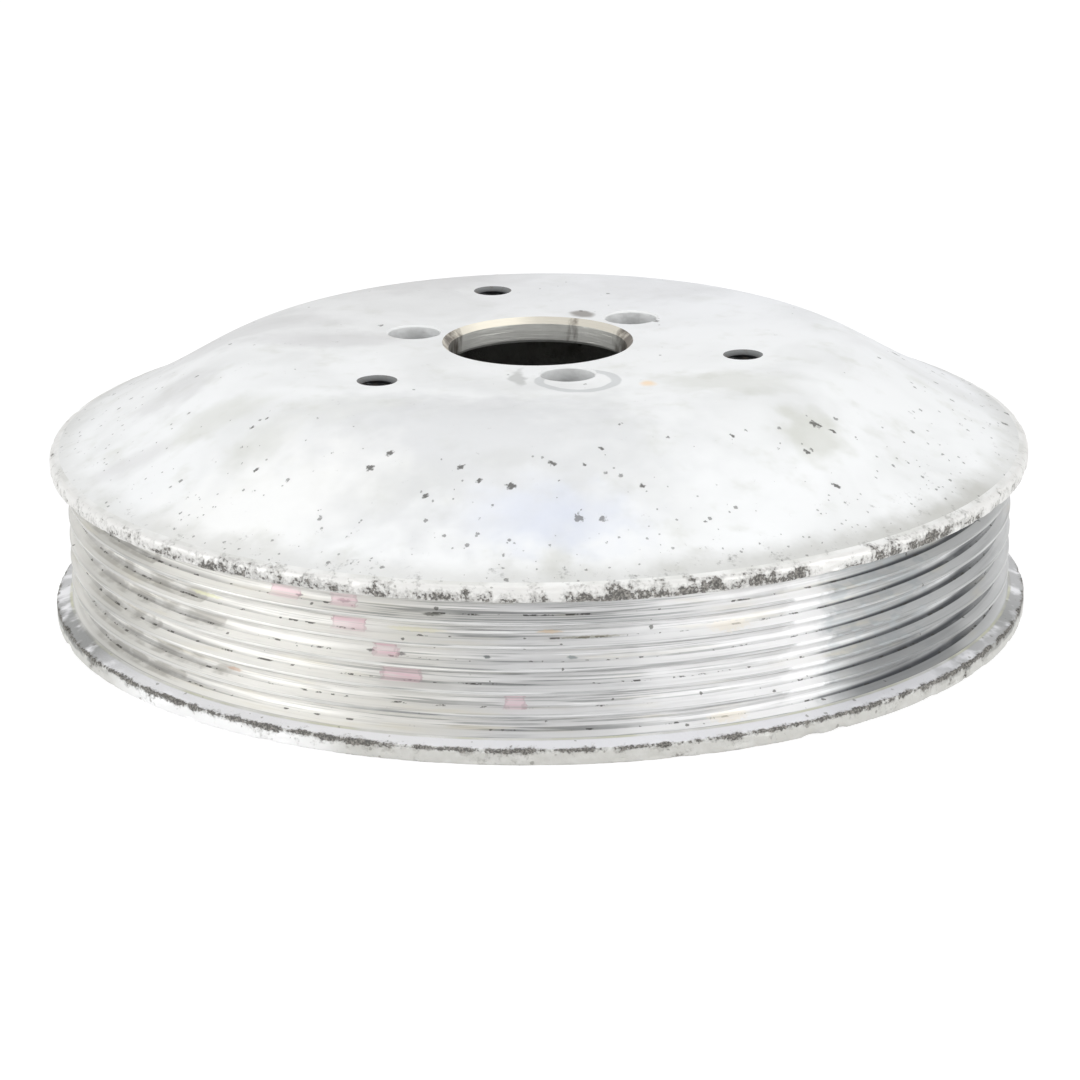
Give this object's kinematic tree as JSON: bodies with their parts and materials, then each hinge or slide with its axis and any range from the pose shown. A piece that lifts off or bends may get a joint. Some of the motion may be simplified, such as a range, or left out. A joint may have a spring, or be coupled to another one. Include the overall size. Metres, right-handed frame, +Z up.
{
  "type": "water pump pulley",
  "caption": "Dished one-piece aluminium pulley with a flanged, multi-grooved rim for a ribbed belt, a flat hub plate with a central bore, bolt holes and puller holes.",
  "frame": {"origin": "centre of the plane that the pulley stands on, which is the lower face of the rim", "axes": "+Z up along the shaft axis, from the open side to the hub face; the picture looks along +Y"},
  "size_m": [0.159, 0.159, 0.0428],
  "materials": {
    "worn_aluminium": "bare cast and turned aluminium, matt, with stains, pits and black grit along the flanges"
  },
  "bodies": {
    "root": {"pulley": "worn_aluminium"}
  },
  "joints": []
}
